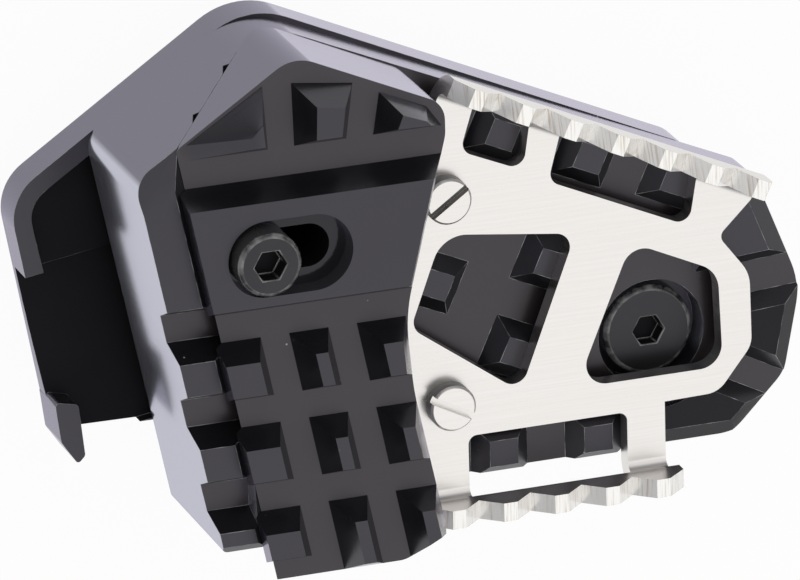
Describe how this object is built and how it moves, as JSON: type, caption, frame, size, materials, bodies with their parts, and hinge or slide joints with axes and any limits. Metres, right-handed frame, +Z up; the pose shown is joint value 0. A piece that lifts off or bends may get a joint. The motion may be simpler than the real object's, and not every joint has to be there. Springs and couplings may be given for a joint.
{
  "type": "brake pedal extension",
  "caption": "Motorbike brake pedal extension: studded black body on a base plate, step block that climbs a ramp under a cap screw, and a folded toothed steel grip plate.",
  "frame": {"origin": "on the lever bolt's axis at the underside of the base plate", "axes": "+X along the step's rows from the step block towards the lever bolt, +Z up from the underside to the tread, +Y completes a right-handed set"},
  "size_m": [0.1229, 0.0818, 0.048],
  "materials": {
    "black_anodised": "black anodised, satin",
    "stainless_sheet": "fine satin",
    "bright_steel": "turned, bright",
    "black_oxide_steel": "black oxide, satin"
  },
  "bodies": {
    "frame": {"base_plate": "black_anodised", "main_body": "black_anodised", "grip_plate": "stainless_sheet", "plate_screws": "bright_steel", "lever_bolt": "black_oxide_steel"},
    "step": {"step_block": "black_anodised"},
    "clamp": {"cap_screw": "black_oxide_steel"}
  },
  "joints": [
    {"name": "step_slide", "type": "slide", "parent": "frame", "child": "step", "axis": [-0.7719, 0, 0.6358], "range_m": [0, 0.0094]},
    {"name": "cap_screw_lift", "type": "slide", "parent": "frame", "child": "clamp", "axis": [0, 0, 1], "range_m": [0, 0.00598]}
  ],
  "couplings": [
    {"joint": "cap_screw_lift", "follows": "step_slide", "ratio": 0.63578}
  ]
}
